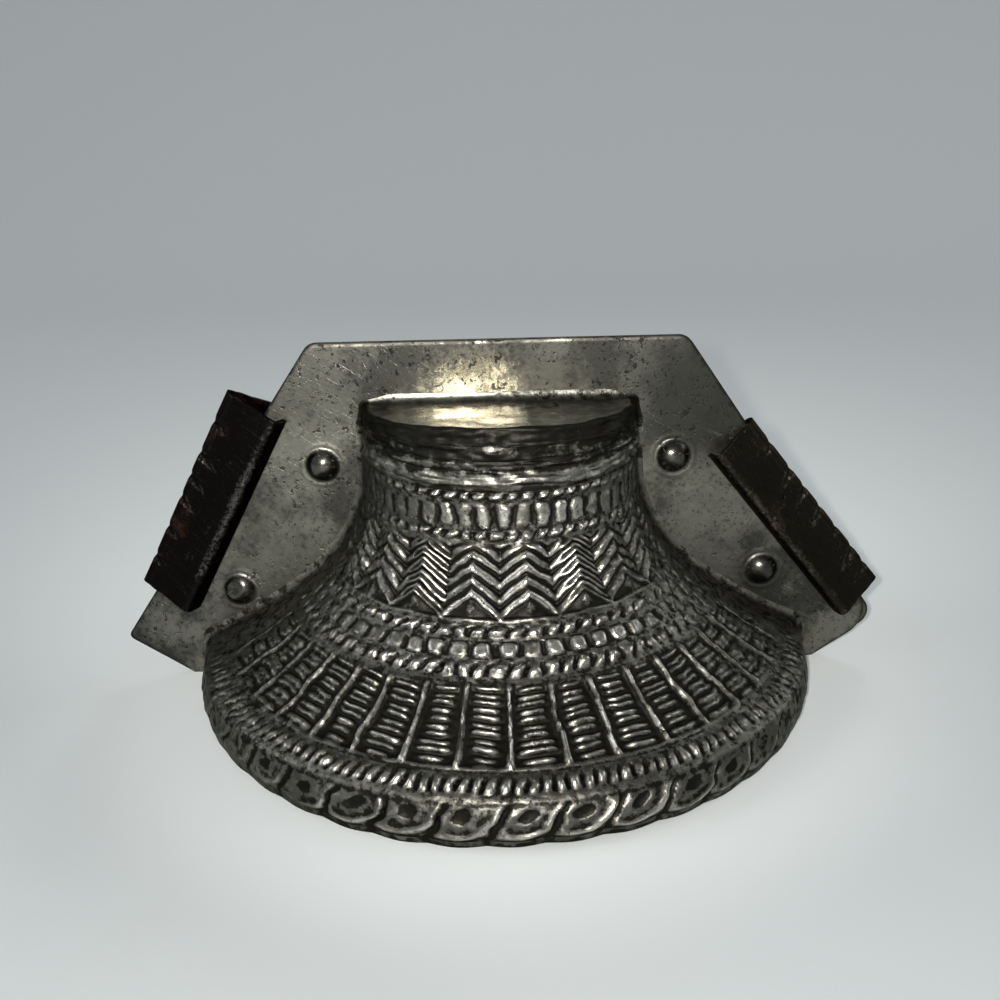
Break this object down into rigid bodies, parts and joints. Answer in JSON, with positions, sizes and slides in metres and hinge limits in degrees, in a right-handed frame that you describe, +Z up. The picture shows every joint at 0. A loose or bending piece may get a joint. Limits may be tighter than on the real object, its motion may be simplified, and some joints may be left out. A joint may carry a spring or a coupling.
{
  "type": "chocolate mould",
  "caption": "Two-piece pressed tin mould for a chocolate basket with a flared, braided rim, wide flanges and folded spring clips that slide off their slanted edges.",
  "frame": {"origin": "centre of the footprint, on the surface that the open rim stands on", "axes": "+X along the flanges towards the right clip, +Y away from the viewer through both halves, +Z up towards the flat foot of the basket"},
  "size_m": [0.15, 0.122, 0.0669],
  "materials": {
    "front_tin": "aged tinplate, dull grey with dark tarnish in the relief",
    "back_tin": "aged tinplate, dull grey with dark tarnish in the relief",
    "left_clip_steel": "spring steel, almost black, with brown rust",
    "right_clip_steel": "spring steel, brown, with a satin rust film"
  },
  "bodies": {
    "mould": {"front_half": "front_tin", "back_half": "back_tin"},
    "left_clip": {"left_clip": "left_clip_steel"},
    "right_clip": {"right_clip": "right_clip_steel"}
  },
  "joints": [
    {"name": "left_clip_slide", "type": "slide", "parent": "mould", "child": "left_clip", "axis": [-0.823, 0, 0.568], "range_m": [-0.0015, 0.015]},
    {"name": "right_clip_slide", "type": "slide", "parent": "mould", "child": "right_clip", "axis": [0.823, 0, 0.568], "range_m": [0, 0.014]}
  ]
}
